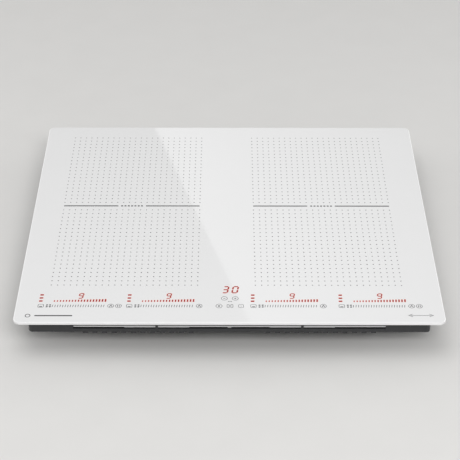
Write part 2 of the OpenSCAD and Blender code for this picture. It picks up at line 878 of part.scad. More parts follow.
module touch_springs() {
    color("silver") {
        for (x = slider_x)
            for (i = [0 : key_count - 1])
                rod(x + bar_start + (i + 0.5) * bar_len / key_count, key_y, touch_top, glass_z, key_r);
        for (x = centre_keys)
            rod(x, key_y, touch_top, glass_z, key_r);
    }
}

// Flat cable from the touch board down to the filter board
module ribbon_cable() {
    y = carrier_rear - 14;
    color("#b8bcc2") translate([zone_shift, 0, 0]) {
        block(-10, y, board_top + 6, 10, y + 1, touch_z);
        block(-10, y, board_top + 5, 10, filter_front + 12, board_top + 6);
        block(-10, filter_front + 8, board_top, 10, filter_front + 14, board_top + 5);
    }
}

// ---------------------------------------------------------------- mains connection

module terminal_block() {
    z0 = sheet + door_t;
    pitch = terminal_w / terminal_count;
    color("whitesmoke") difference() {
        block(zone_shift - terminal_w / 2 - 3, terminal_y - terminal_d / 2, z0,
              zone_shift + terminal_w / 2 + 3, terminal_y + terminal_d / 2, z0 + terminal_h);
        block(zone_shift - terminal_w / 2, terminal_y - terminal_d / 2 - 1, z0 - 1,
              zone_shift + terminal_w / 2, terminal_y + terminal_d / 2 + 1, z0 + terminal_arch);
        for (i = [0 : terminal_count - 1])
            translate([zone_shift + (i - (terminal_count - 1) / 2) * pitch, terminal_y, 0]) {
                rod(0, terminal_back, z0 + terminal_arch - 1, z0 + terminal_bore_z, terminal_bore_r);
                translate([-wire_hole_w / 2, -terminal_d / 2 - 1, z0 + wire_hole_z])
                    cube([wire_hole_w, 2 * wire_hole_w, 6]);
            }
    }
}

module terminal_screws() {
    z0 = sheet + door_t;
    pitch = terminal_w / terminal_count;
    color("goldenrod") for (i = [0 : terminal_count - 1])
        translate([zone_shift + (i - (terminal_count - 1) / 2) * pitch, terminal_y + terminal_back, 0])
            difference() {
                rod(0, 0, z0 + wire_hole_z - 1, z0 + terminal_bore_z, terminal_bore_r - 0.2);
                translate([-0.4, -3, z0 + 6]) cube([0.8, 6, 2]);
            }
}

// Door under the terminals, flush with the base
module terminal_cover() {
    color("#26282a") difference() {
        block(zone_shift - door_w / 2 + door_gap, terminal_y - door_d / 2 + door_gap, 0,
              zone_shift + door_w / 2 - door_gap, terminal_y + door_d / 2 - door_gap, door_t);
        at_door_screws() countersunk(0.1);
    }
}

module cable_gland() {
    color("#1b1b1b") translate([zone_shift, 0, gland_z]) rotate([-90, 0, 0]) difference() {
        union() {
            translate([0, 0, tub_rear - sheet - 4]) cylinder(h = gland_len, r = gland_r);
            translate([0, 0, tub_rear]) cylinder(h = 3, r = gland_flange_r);
            translate([0, 0, tub_rear - sheet - 3]) cylinder(h = 3, r = gland_flange_r - 0.5, $fn = 6);
        }
        translate([0, 0, tub_rear - sheet - 5]) cylinder(h = gland_len + 2, r = gland_bore_d / 2);
    }
}

// ---------------------------------------------------------------- worktop clamps

// Clamp in its stowed place: sx is its side, sy is +1 when its arm points to the back
module worktop_clamp(sx, y, sy) {
    bore_r = clamp_screw_d / 2 + clamp_clearance;
    color("silver") translate([sx * clamp_x, y, 0]) difference() {
        union() {
            rod(0, 0, clamp_z, ledge_z - clamp_play, clamp_collar_r);
            rod(0, 0, clamp_z, clamp_z + clamp_t, clamp_w / 2);
            scale_y(sy) block(-clamp_w / 2, 0, clamp_z, clamp_w / 2, clamp_reach, clamp_z + clamp_t);
            scale_y(sy) block(-clamp_w / 2, clamp_reach - clamp_t, clamp_z,
                              clamp_w / 2, clamp_reach, clamp_z + clamp_t + 3);
        }
        rod(0, 0, clamp_z - 1, ledge_z + 1, bore_r);
    }
}

module scale_y(sy) {
    if (sy > 0) children();
    else mirror([0, 1, 0]) children();
}

module at_clamps() {
    for (s = [-1, 1])
        for (y = [clamp_front_y, clamp_rear_y])
            translate([s * clamp_x, y, 0]) children();
}

module clamp_screws() {
    low = clamp_z - clamp_play;
    color("silver") at_clamps() difference() {
        union() {
            rod(0, 0, low, ledge_z + sheet + 3.7, clamp_screw_d / 2);
            rod(0, 0, low - head_h, low, clamp_screw_d);
        }
        for (a = [0, 90])
            rotate([0, 0, a]) translate([-2.4, -0.5, low - head_h - 1]) cube([4.8, 1, 2.2]);
    }
}

module clamp_nuts() {
    color("silver") at_clamps() difference() {
        translate([0, 0, ledge_z + sheet]) cylinder(h = 3.2, r = clamp_screw_d * 1.01, $fn = 6);
        rod(0, 0, ledge_z, ledge_z + sheet + 5, clamp_screw_d / 2 + 0.05);
    }
}

// ---------------------------------------------------------------- nodes

glass_top();
foam_seal();
glass_frame();
bottom_tray();
air_deflector();
casing_screws();
at_coil(-1, false) coil_winding();  // coil_winding_front_left
at_coil(-1, true) coil_winding();  // coil_winding_rear_left
at_coil(1, false) coil_winding();  // coil_winding_front_right
at_coil(1, true) coil_winding();  // coil_winding_rear_right
at_coil(-1, false) coil_former();  // coil_former_front_left
at_coil(-1, true) coil_former();  // coil_former_rear_left
at_coil(1, false) coil_former();  // coil_former_front_right
at_coil(1, true) coil_former();  // coil_former_rear_right
at_coil(-1, false) ferrite_bars();  // ferrite_bars_front_left
at_coil(-1, true) ferrite_bars();  // ferrite_bars_rear_left
at_coil(1, false) ferrite_bars();  // ferrite_bars_front_right
at_coil(1, true) ferrite_bars();  // ferrite_bars_rear_right
mica_sheets();
heat_sensors();
coil_plate(-1);  // coil_plate_left
coil_plate(1);  // coil_plate_right
coil_springs();
coil_leads();
plate_pillars();
plate_screws();
power_board(-1);  // power_board_left
power_board(1);  // power_board_right
heat_sink(-1);  // heat_sink_left
heat_sink(1);  // heat_sink_right
power_transistors();
resonance_capacitors();
board_chokes();
bridge_rectifiers();
board_spacers();
filter_board();
filter_choke();
filter_capacitors();
supply_transformer();
fan_housing(-1);  // fan_housing_left
fan_housing(1);  // fan_housing_right
fan_rotor(-1);  // fan_rotor_left
fan_rotor(1);  // fan_rotor_right
touch_carrier();
touch_board();
display_modules();
bar_lights();
touch_springs();
ribbon_cable();
terminal_block();
terminal_screws();
terminal_cover();
cable_gland();
worktop_clamp(-1, clamp_front_y, 1);  // clamp_front_left
worktop_clamp(-1, clamp_rear_y, -1);  // clamp_rear_left
worktop_clamp(1, clamp_front_y, 1);  // clamp_front_right
worktop_clamp(1, clamp_rear_y, -1);  // clamp_rear_right
clamp_screws();
clamp_nuts();
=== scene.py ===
"""Built-in electric induction cooktop: a white glass top over a stepped, dark sheet-metal casing."""

import math

import bmesh
import bpy
from mathutils import Matrix, Vector


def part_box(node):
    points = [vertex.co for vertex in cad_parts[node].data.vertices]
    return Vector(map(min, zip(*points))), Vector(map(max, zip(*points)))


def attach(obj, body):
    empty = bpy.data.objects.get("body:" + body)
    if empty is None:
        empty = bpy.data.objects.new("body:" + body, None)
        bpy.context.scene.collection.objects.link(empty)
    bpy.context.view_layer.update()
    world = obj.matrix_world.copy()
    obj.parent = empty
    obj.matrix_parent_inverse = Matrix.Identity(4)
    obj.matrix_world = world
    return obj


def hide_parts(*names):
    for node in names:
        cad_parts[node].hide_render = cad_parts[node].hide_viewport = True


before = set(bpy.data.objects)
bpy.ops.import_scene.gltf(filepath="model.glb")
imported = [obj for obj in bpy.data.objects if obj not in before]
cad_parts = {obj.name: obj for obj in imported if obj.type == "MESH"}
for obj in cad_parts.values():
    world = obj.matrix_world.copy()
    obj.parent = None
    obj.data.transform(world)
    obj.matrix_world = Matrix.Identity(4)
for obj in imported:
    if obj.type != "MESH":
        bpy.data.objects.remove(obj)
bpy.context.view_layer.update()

# ---------------------------------------------------------------- camera
# A long lens on a tripod, well back from the front edge and looking down on the glass. It points
# a fraction of a degree aside and leans by as little, as a tripod set by hand does.
sensor_width = 36.0
lens_length = 115.71485
camera_place = Vector((-0.00327, -1.84217, 1.30112))
look_down = math.radians(34.56484)
look_aside = math.radians(0.12951)
lean = math.radians(0.13505)
forward = Vector((
    math.sin(look_aside) * math.cos(look_down),
    math.cos(look_aside) * math.cos(look_down),
    -math.sin(look_down),
))
level = Vector((math.cos(look_aside), -math.sin(look_aside), 0))
upward = level.cross(forward)
across = math.cos(lean) * level + math.sin(lean) * upward
upright = math.cos(lean) * upward - math.sin(lean) * level
lens = bpy.data.cameras.new("studio_camera")
lens.sensor_width = sensor_width
lens.lens = lens_length
camera = bpy.data.objects.new("studio_camera", lens)
turn = Matrix((across, upright, -forward)).transposed().to_4x4()
camera.matrix_world = Matrix.Translation(camera_place) @ turn
bpy.context.scene.collection.objects.link(camera)
bpy.context.scene.camera = camera


# ---------------------------------------------------------------- studio
# A pale, matt paper floor under four soft lights, and a bright card far behind the object. The
# glossy glass mirrors the card, and the card's slanted edge draws a line across it.
def tone(colour):
    """A colour written as sRGB hex, as the linear values that a shader takes."""
    parts = [int(colour[i:i + 2], 16) / 255 for i in (1, 3, 5)]
    return [p / 12.92 if p <= 0.04045 else ((p + 0.055) / 1.055) ** 2.4 for p in parts] + [1]


def add(tree, kind, settings=None, sources=None):
    """Adds a node with its settings and the outputs that feed its sockets."""
    node = tree.nodes.new("ShaderNode" + kind)
    for key, value in (settings or {}).items():
        if isinstance(key, int) or key in node.inputs:
            node.inputs[key].default_value = value
        else:
            setattr(node, key, value)
    for key, output in (sources or {}).items():
        tree.links.new(output, node.inputs[key])
    return node


def surface(name, colour, roughness, metallic=0.0, ior=1.5):
    """A material that starts from its real colour, roughness, metal and index."""
    material = bpy.data.materials.new(name)
    material.use_nodes = True
    tree = material.node_tree
    tree.nodes.clear()
    shader = add(tree, "BsdfPrincipled", {
        "Base Color": tone(colour), "Roughness": roughness, "Metallic": metallic, "IOR": ior,
    })
    add(tree, "OutputMaterial", {}, {"Surface": shader.outputs[0]})
    return material, tree, shader


def grain(tree, shader, size, colours, rough, bump, stretch=(1, 1, 1), detail=3.0):
    """Noise of a real size in millimetres that varies colour, roughness and height.

    Gives back the node of the height, for a finish with soft edges.
    """
    coords = add(tree, "TexCoord")
    where = add(tree, "Mapping", {"Scale": stretch}, {"Vector": coords.outputs["Object"]})
    noise = add(tree, "TexNoise", {"Scale": 1000 / size, "Detail": detail},
                {"Vector": where.outputs[0]})
    mixed = add(tree, "Mix", {"data_type": "RGBA", 6: tone(colours[0]), 7: tone(colours[1])},
                {0: noise.outputs[0]})
    tree.links.new(mixed.outputs[2], shader.inputs["Base Color"])
    polish = add(tree, "MapRange", {"To Min": rough[0], "To Max": rough[1]},
                 {"Value": noise.outputs[0]})
    tree.links.new(polish.outputs[0], shader.inputs["Roughness"])
    relief = add(tree, "Bump", {"Strength": 1.0, "Distance": bump / 1000},
                 {"Height": noise.outputs[0]})
    tree.links.new(relief.outputs[0], shader.inputs["Normal"])
    return relief


floor_reach = 8.0
paper, tree, shader = surface("studio_paper", "#D9D8D6", 0.85)
grain(tree, shader, 60, ("#D7D6D4", "#DBDAD8"), (0.8, 0.9), 0.05)
bm = bmesh.new()
bmesh.ops.create_grid(bm, x_segments=1, y_segments=1, size=floor_reach)
floor_mesh = bpy.data.meshes.new("floor")
bm.to_mesh(floor_mesh)
bm.free()
floor_mesh.materials.append(paper)
floor = bpy.data.objects.new("floor", floor_mesh)
bpy.context.scene.collection.objects.link(floor)

room_light = 0.5
sky = bpy.data.worlds.new("soft_room")
sky.use_nodes = True
sky.node_tree.nodes["Background"].inputs["Color"].default_value = tone("#F6F6F6")
sky.node_tree.nodes["Background"].inputs["Strength"].default_value = room_light
bpy.context.scene.world = sky
bpy.context.scene.view_settings.view_transform = "Standard"
for name, place, aim, size, power in (
    ("overhead_softbox", (-0.6, -0.4, 3.4), (0, 0, 0), 2.6, 38),
    ("front_softbox", (0.7, -2.2, 2.2), (0, 0, 0.03), 1.2, 34),
    ("left_softbox", (-2.6, 0.2, 0.5), (-0.25, 0, 0.05), 0.8, 14),
    ("right_softbox", (2.6, 0.2, 0.5), (0.25, 0, 0.05), 0.8, 14),
):
    light = bpy.data.lights.new(name, "AREA")
    light.shape = "SQUARE"
    light.size = size
    light.energy = power
    lamp = bpy.data.objects.new(name, light)
    lamp.location = place
    lamp.rotation_euler = (Vector(aim) - Vector(place)).to_track_quat("-Z", "Y").to_euler()
    bpy.context.scene.collection.objects.link(lamp)

# The card's slanted edge is where the camera's mirror image sees the line on the glass. The card
# grows dimmer from fade_from to fade_to, so the glass's tone falls off gently towards the right.
card_y = 6.0
card_width = 4.5
card_glow = 1.5
card_far_glow = 0.5
fade_from = -0.4
fade_to = 1.4
glass_top_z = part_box("glass_top")[1].z
mirrored = Vector((camera_place.x, camera_place.y, 2 * glass_top_z - camera_place.z))
line_back = Vector((-0.122, 0.258, glass_top_z))
line_front = Vector((0.028, -0.260, glass_top_z))
card_away = card_y - mirrored.y
seen_back = mirrored + (line_back - mirrored) * (card_away / (line_back.y - mirrored.y))
seen_front = mirrored + (line_front - mirrored) * (card_away / (line_front.y - mirrored.y))
edge = seen_front - seen_back
bm = bmesh.new()
low = bm.verts.new(seen_back - edge)
high = bm.verts.new(seen_front + edge)
low_far = bm.verts.new(low.co + Vector((card_width, 0, 0)))
high_far = bm.verts.new(high.co + Vector((card_width, 0, 0)))
bm.faces.new((low, low_far, high_far, high))
card_mesh = bpy.data.meshes.new("bright_card")
bm.to_mesh(card_mesh)
bm.free()
glow, tree, shader = surface("card_glow", "#000000", 1.0)
shader.inputs["Emission Color"].default_value = tone("#FFFFFF")
coords = add(tree, "TexCoord")
sideways = add(tree, "SeparateXYZ", {}, {"Vector": coords.outputs["Object"]})
fading = add(tree, "MapRange", {
    "From Min": fade_from, "From Max": fade_to, "To Min": card_glow, "To Max": card_far_glow,
}, {"Value": sideways.outputs["X"]})
tree.links.new(fading.outputs[0], shader.inputs["Emission Strength"])
card_mesh.materials.append(glow)
card = bpy.data.objects.new("bright_card", card_mesh)
card.visible_diffuse = False
bpy.context.scene.collection.objects.link(card)


# ---------------------------------------------------------------- glass top
# A 4 mm plate of glass-ceramic with a ground bevel, fired white on its underside.
# The plate is as flat and glossy as float glass. Along the front edge the bevel keeps the enamel's
# colour; along the other three it is rougher and painted whiter, a painted highlight.
def dress(material, *nodes):
    """Gives CAD nodes their finish."""
    for node in nodes:
        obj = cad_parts[node]
        if not obj.material_slots:
            obj.data.materials.append(material)
        for material_slot in obj.material_slots:
            material_slot.material = material


# Bevel is where the face turns from level, and front bevel where its normal leans forwards by about
# front_bevel_lean. Only the other bevels are made rougher and painted whiter, a painted highlight.
front_bevel_lean = 0.6
enamel_cloud = 45
white_glass, tree, shader = surface("white_enamelled_glass_ceramic", "#E5E5E5", 0.03, ior=1.52)
coords = add(tree, "TexCoord")
facing = add(tree, "SeparateXYZ", {}, {"Vector": coords.outputs["Normal"]})
bevel_faces = add(tree, "MapRange", {"From Min": 0.93, "From Max": 0.99, "To Min": 1.0, "To Max": 0.0},
             {"Value": facing.outputs["Z"]})
forwards = add(tree, "Math", {"operation": "ADD", 1: front_bevel_lean}, {0: facing.outputs["Y"]})
from_front = add(tree, "Math", {"operation": "ABSOLUTE"}, {0: forwards.outputs[0]})
off_front_bevel = add(tree, "MapRange", {"From Min": 0.25, "From Max": 0.38},
                 {"Value": from_front.outputs[0]})
highlight_and_rough_bevels = add(tree, "Math", {"operation": "MULTIPLY"},
              {0: bevel_faces.outputs[0], 1: off_front_bevel.outputs[0]})
firing = add(tree, "TexNoise", {"Scale": 1000 / enamel_cloud, "Detail": 2.0},
             {"Vector": coords.outputs["Object"]})
enamel = add(tree, "Mix", {"data_type": "RGBA", 6: tone("#E4E4E4"), 7: tone("#E6E6E6")},
             {0: firing.outputs[0]})
# Painted highlight: the bevels along the sides and back take a whiter colour than the enamel.
bevel_painted_highlight = add(tree, "Mix", {"data_type": "RGBA", 7: tone("#F6F6F6")},
                  {0: highlight_and_rough_bevels.outputs[0], 6: enamel.outputs[2]})
tree.links.new(bevel_painted_highlight.outputs[2], shader.inputs["Base Color"])
bevel_rough = add(tree, "MapRange", {"To Min": 0.03, "To Max": 0.35}, {"Value": highlight_and_rough_bevels.outputs[0]})
tree.links.new(bevel_rough.outputs[0], shader.inputs["Roughness"])
dress(white_glass, "glass_top")

# ---------------------------------------------------------------- cooking field print
# Dots and dashes of grey ceramic ink that show the four cooking fields, screen printed and
# fired. The print is drawn as a film a few hundredths of a millimetre thick on the glass.
mm = 0.001
print_above = 0.02
print_below = 0.06
print_top = glass_top_z / mm + print_above
print_bottom = glass_top_z / mm - print_below


def disc(bm, x, y, radius, sides=24, rim=0):
    """A round patch of print, or a ring where rim is its line width, in millimetres."""
    round_patch = bmesh.ops.create_circle(bm, cap_ends=True, segments=sides, radius=radius,
                                          matrix=Matrix.Translation((x, y, 0)))
    if rim:
        hollow_out(bm, round_patch["verts"][0].link_faces[0], rim)


def patch(bm, x, y, width, depth, corner=0, rim=0, slant=0):
    """An oblong patch of print about x, y, with round corners, a rim or a slant."""
    slanted = Matrix.Identity(4)
    slanted[0][1] = slant
    size = Matrix.Diagonal((width / 2, depth / 2, 1, 1))
    made = bmesh.ops.create_grid(bm, x_segments=1, y_segments=1, size=1,
                                 matrix=Matrix.Translation((x, y, 0)) @ slanted @ size)
    face = made["verts"][0].link_faces[0]
    if corner:
        rounded = bmesh.ops.bevel(bm, geom=list(face.verts), offset=corner, segments=3, profile=0.5,
                                  affect="VERTICES", material=-1)
        face = max(rounded["faces"] + [f for v in rounded["verts"] for f in v.link_faces],
                   key=lambda f: f.calc_area())
    if rim:
        hollow_out(bm, face, rim)


def hollow_out(bm, face, rim):
    """Leaves only a rim of that width of a flat patch."""
    bmesh.ops.inset_region(bm, faces=[face], thickness=rim, use_even_offset=True, use_boundary=True)
    bmesh.ops.delete(bm, geom=[face], context="FACES_ONLY")


def thicken(bm, low, high):
    """Turns flat patches at z 0 into a closed film between two heights, in millimetres."""
    raised = bmesh.ops.extrude_face_region(bm, geom=bm.faces[:])["geom"]
    top = [v for v in raised if isinstance(v, bmesh.types.BMVert)]
    bmesh.ops.translate(bm, vec=(0, 0, high - low), verts=top)
    bmesh.ops.translate(bm, vec=(0, 0, low), verts=bm.verts)


def piece(name, bm, material, body="hob_body"):
    """Makes a piece from a mesh drawn in millimetres in the object's own frame."""
    bmesh.ops.scale(bm, vec=(mm, mm, mm), verts=bm.verts)
    bmesh.ops.recalc_face_normals(bm, faces=bm.faces)
    mesh = bpy.data.meshes.new(name)
    bm.to_mesh(mesh)
    bm.free()
    mesh.materials.append(material)
    obj = bpy.data.objects.new(name, mesh)
    bpy.context.scene.collection.objects.link(obj)
    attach(obj, body)
    return obj


ceramic_ink, tree, shader = surface("grey_ceramic_ink", "#4D4D4F", 0.3)
grain(tree, shader, 0.6, ("#474749", "#545456"), (0.25, 0.38), 0.004)
dot_radius = 0.92
dot_columns = 24
dot_pitch_x = 8.94
dot_rows = 20
dot_pitch_y = 10.0
field_lefts = (-250.5, 36.3)
field_fronts = (-174.5, 36.0)
bm = bmesh.new()
for left in field_lefts:
    for front in field_fronts:
        for column in range(dot_columns):
            for row in range(dot_rows):
                disc(bm, left + column * dot_pitch_x, front + row * dot_pitch_y, dot_radius, sides=8)
thicken(bm, print_bottom, print_top)
piece("field_dots", bm, ceramic_ink)

# Bars across each pair of fields, with a row of plain dashes in the gap between them
bar_y = 26.4
bar_depth = 2.6
bar_spans = ((-250.9, -168.4), (-126.9, -44.9), (35.9, 118.1), (159.9, 242.4))
bridge_middles = (-147.7, 139.1)
bridge_marks = 7
bridge_pitch = 5.0
bridge_width = 3.2
bridge_depth = 3.0
bm = bmesh.new()
for start, end in bar_spans:
    patch(bm, (start + end) / 2, bar_y, end - start, bar_depth, corner=0.8)
for middle in bridge_middles:
    for mark in range(bridge_marks):
        mark_x = middle + (mark - (bridge_marks - 1) / 2) * bridge_pitch
        patch(bm, mark_x, bar_y, bridge_width, bridge_depth, corner=0.6)
thicken(bm, print_bottom, print_top)
piece("field_bars", bm, ceramic_ink)

# ---------------------------------------------------------------- slider and key print
# Under the displays each zone has a slider scale of fine ticks between its keys: pan, bridge
# blocks, boost ring and hold ring. The keys are capacitive, so they are print and nothing more.
slider_starts = (-261.5, -139.5, 31.8, 153.6)
key_y = -222.6
tick_count = 21
tick_first = 17.4
tick_pitch = 3.535
tick_width = 0.85
tick_depth = 5.4
ink_line = 0.7
key_slant = 0.12
key_ring = 4.5
key_corner = 1.6
pan_x = 1.2
pan_size = (8.2, 7.6)
pan_base = (4.2, 1.6)
pan_base_y = -1.4
block_xs = (9.6, 13.9)
block_ys = (-2.0, 2.0)
block_size = (2.5, 2.6)
small_corner = 0.5
boost_x = 97.6
boost_strokes = ((-0.7, 0.2, 1.2, 5.0, 0.45), (1.3, -0.4, 1.2, 3.6, -0.45))
hold_zones = (0, 3)
hold_x = 108.2
hold_bars = (-1.2, 1.2)
hold_size = (1.0, 4.2)
bm = bmesh.new()
for index, start in enumerate(slider_starts):
    for tick in range(tick_count):
        tick_x = start + tick_first + tick * tick_pitch
        patch(bm, tick_x, key_y, tick_width, tick_depth, slant=key_slant)
    patch(bm, start + pan_x, key_y, *pan_size, corner=key_corner, rim=ink_line)
    patch(bm, start + pan_x, key_y + pan_base_y, *pan_base, corner=small_corner)
    for block_x in block_xs:
        for block_y in block_ys:
            patch(bm, start + block_x, key_y + block_y, *block_size,
                  corner=small_corner, slant=key_slant)
    disc(bm, start + boost_x, key_y, key_ring, rim=ink_line)
    for stroke_x, stroke_y, width, depth, slant in boost_strokes:
        patch(bm, start + boost_x + stroke_x, key_y + stroke_y, width, depth, slant=slant)
    if index in hold_zones:
        disc(bm, start + hold_x, key_y, key_ring, rim=ink_line)
        for bar_x in hold_bars:
            patch(bm, start + hold_x + bar_x, key_y, *hold_size)
thicken(bm, print_bottom, print_top)
piece("slider_print", bm, ceramic_ink)

# ---------------------------------------------------------------- middle key print
# The keys that all zones share, printed in the same ink at the middle of the front: minus and
# plus of the timer, three dashes, and a row of key lock, twin ovals and the on-off pad.
minus_x = -7.2
plus_x = 8.0
timer_y = -205.2
dash_xs = (-1.4, 0.6, 2.6)
dash_y = -212.3
lock_x = -14.5
lock_ring = 4.6
lock_dot = 1.5
oval_xs = (-1.9, 3.2)
oval_size = (3.7, 7.6)
power_x = 15.9
power_size = (7.2, 7.8)
power_line = 0.6
power_dot = 0.7
stroke_long = 3.0
stroke_line = 0.9
stub_long = 1.0
dash_size = (1.2, 1.6)
dot_sides = 12
bm = bmesh.new()
for key_x in (minus_x, plus_x):
    disc(bm, key_x, timer_y, key_ring, rim=ink_line)
    patch(bm, key_x, timer_y, stroke_long, stroke_line)
for stub_side in (1, -1):
    stub_y = timer_y + stub_side * (stroke_line + stub_long) / 2
    patch(bm, plus_x, stub_y, stroke_line, stub_long)
for dash_x in dash_xs:
    patch(bm, dash_x, dash_y, *dash_size)
disc(bm, lock_x, key_y, lock_ring, rim=ink_line)
disc(bm, lock_x, key_y, lock_dot, sides=dot_sides)
for oval_x in oval_xs:
    patch(bm, oval_x, key_y, *oval_size, corner=key_corner, rim=ink_line)
patch(bm, power_x, key_y, *power_size, corner=key_corner, rim=power_line)
disc(bm, power_x, key_y, power_dot, sides=dot_sides)
thicken(bm, print_bottom, print_top)
piece("middle_key_print", bm, ceramic_ink)

# ---------------------------------------------------------------- edge marks
# Plain marks by the front edge, screen printed and fired with the rest: a ring and a line at the
# left, and a thin arrow with two heads at the right.
mark_y = -244.5
ring_x = -276.0
ring_radius = 3.8
ring_line = 1.1
line_x = -241.0
line_size = (52.0, 2.4)
line_corner = 1.1
bm = bmesh.new()
disc(bm, ring_x, mark_y, ring_radius, rim=ring_line)
patch(bm, line_x, mark_y, *line_size, corner=line_corner)
thicken(bm, print_bottom, print_top)
piece("edge_mark", bm, ceramic_ink)
arrow_y = -243.3
arrow_ends = (244.5, 279.5)
arrow_head = 3.0
arrow_shaft = (arrow_ends[1] - arrow_ends[0] - 2 * arrow_head, 0.8)
barb_x = 3.2
barb_y = 1.4
barb_size = (1.5, 3.2)
barb_slant = 1.8
bm = bmesh.new()
patch(bm, sum(arrow_ends) / 2, arrow_y, *arrow_shaft)
for tip, side in zip(arrow_ends, (1, -1)):
    patch(bm, tip + side * barb_x, arrow_y + barb_y, *barb_size, slant=side * barb_slant)
    patch(bm, tip + side * barb_x, arrow_y - barb_y, *barb_size, slant=-side * barb_slant)
thicken(bm, print_bottom, print_top)
piece("edge_arrow", bm, ceramic_ink)

# ---------------------------------------------------------------- displays
# Red diodes in cast epoxy segments, which shine up through windows in the white enamel: a power
# digit, a bar of eighteen steps and three level dashes for each zone, and the timer in the middle.
# The light spreads in the enamel, so a pale red edge shows round every segment.
segment_glow = 0.1
bleed_glow = 0.06
segment_red, tree, shader = surface("lit_red_epoxy", "#8A160F", 0.25)
grain(tree, shader, 1.5, ("#921911", "#7E120C"), (0.2, 0.3), 0.002)
shader.inputs["Emission Color"].default_value = tone("#E4281A")
shader.inputs["Emission Strength"].default_value = segment_glow
red_bleed, tree, shader = surface("white_enamel_in_red_light", "#F0CEC8", 0.1, ior=1.52)
grain(tree, shader, 1.5, ("#F2D2CC", "#EECAC3"), (0.05, 0.15), 0.0)
shader.inputs["Emission Color"].default_value = tone("#FF5A48")
shader.inputs["Emission Strength"].default_value = bleed_glow
bleed_spread = 0.6
bleed_sink = 0.01
bleed_top = print_top - bleed_sink
bar_steps = 18
step_first = 19.1
step_pitch = 4.15
step_width = 1.45
step_growth = 0.6
step_low = 3.1
step_high = 6.1
step_base = -213.2
step_slant = 0.05
lit_slant = 0.16
step_corner = 0.4
level_ys = (-197.6, -204.6, -211.6)
level_x = 0.6
level_drift = 0.2
level_size = (4.8, 2.9)
level_corner = 0.5
digit_x = 55.2
digit_y = -199.8
digit_size = (5.6, 10.8)
digit_line = 1.45
timer_digits = (("3", -5.5, 6.9), ("0", 7.9, 7.0))
timer_digit_y = -185.2
timer_depth = 14.3
timer_line = 2.0
segment_places = {
    "a": (0, 1, 0), "g": (0, 0, 0), "d": (0, -1, 0),
    "f": (-1, 0.5, 1), "b": (1, 0.5, 1), "e": (-1, -0.5, 1), "c": (1, -0.5, 1),
}
lit_segments = {"9": "abcdfg", "3": "abcdg", "0": "abcdef"}
segment_gap = 0.75
segment_round = 0.42


def segment(lit, bleed, x, y, width, depth, corner, slant):
    """A lit segment, and the wider soft patch where its light bleeds into the enamel."""
    patch(lit, x, y, width, depth, corner=corner, slant=slant)
    patch(bleed, x, y, width + 2 * bleed_spread, depth + 2 * bleed_spread,
          corner=corner + bleed_spread, slant=slant)


def digit(lit, bleed, figure, x, y, width, depth, line):
    """One leaning seven-segment figure about x, y."""
    for name in lit_segments[figure]:
        across_at, up_at, standing = segment_places[name]
        aside = across_at * width / 2
        up = up_at * depth / 2
        long_side = (depth / 2 if standing else width) - line * segment_gap
        size = (line, long_side) if standing else (long_side, line)
        segment(lit, bleed, x + aside + up * lit_slant, y + up,
                *size, line * segment_round, lit_slant)


bleed = bmesh.new()
for index, start in enumerate(slider_starts):
    lit = bmesh.new()
    for step in range(bar_steps):
        along = step / (bar_steps - 1)
        tall = step_low + (step_high - step_low) * along
        segment(lit, bleed, start + step_first + step * step_pitch, step_base + tall / 2,
                step_width + step_growth * along, tall, step_corner, step_slant)
    for level, level_y in enumerate(level_ys):
        segment(lit, bleed, start + level_x - level * level_drift, level_y,
                *level_size, level_corner, step_slant)
    digit(lit, bleed, "9", start + digit_x, digit_y, *digit_size, digit_line)
    thicken(lit, print_bottom, print_top)
    piece("zone_display_%d" % (index + 1), lit, segment_red)
lit = bmesh.new()
for figure, figure_x, figure_width in timer_digits:
    digit(lit, bleed, figure, figure_x, timer_digit_y, figure_width, timer_depth, timer_line)
thicken(lit, print_bottom, print_top)
piece("timer_display", lit, segment_red)
thicken(bleed, print_bottom, bleed_top)
piece("display_light_bleed", bleed, red_bleed)

# ---------------------------------------------------------------- foam seal
# A strip of black closed-cell foam glued under the glass edge, which seals it to the worktop.
# It is cut from sheet, and the cut cells of 0.9 mm give it a pitted face with almost no sheen.
foam, tree, shader = surface("closed_cell_foam", "#1F1F21", 0.95)
grain(tree, shader, 0.9, ("#161617", "#2B2B2D"), (0.9, 1.0), 0.25)
dress(foam, "foam_seal")

# ---------------------------------------------------------------- inner frame
# Galvanised sheet steel, folded into a flange that is bonded to the glass and carries it.
# Hot-dip zinc freezes into spangles some 8 mm across, each with its own brightness and gloss.
spangle_size = 8
galvanised, tree, shader = surface("hot_dip_galvanised_steel", "#A9ACAE", 0.42, metallic=1.0)
coords = add(tree, "TexCoord")
spangle = add(tree, "TexVoronoi", {"Scale": 1000 / spangle_size, "Randomness": 1.0},
              {"Vector": coords.outputs["Object"]})
spangle_tone = add(tree, "SeparateColor", {}, {0: spangle.outputs["Color"]})
zinc = add(tree, "Mix", {"data_type": "RGBA", 6: tone("#9C9FA1"), 7: tone("#B9BCBE")},
           {0: spangle_tone.outputs[0]})
tree.links.new(zinc.outputs[2], shader.inputs["Base Color"])
zinc_rough = add(tree, "MapRange", {"To Min": 0.34, "To Max": 0.5},
                 {"Value": spangle_tone.outputs[1]})
tree.links.new(zinc_rough.outputs[0], shader.inputs["Roughness"])
dress(galvanised, "glass_frame")
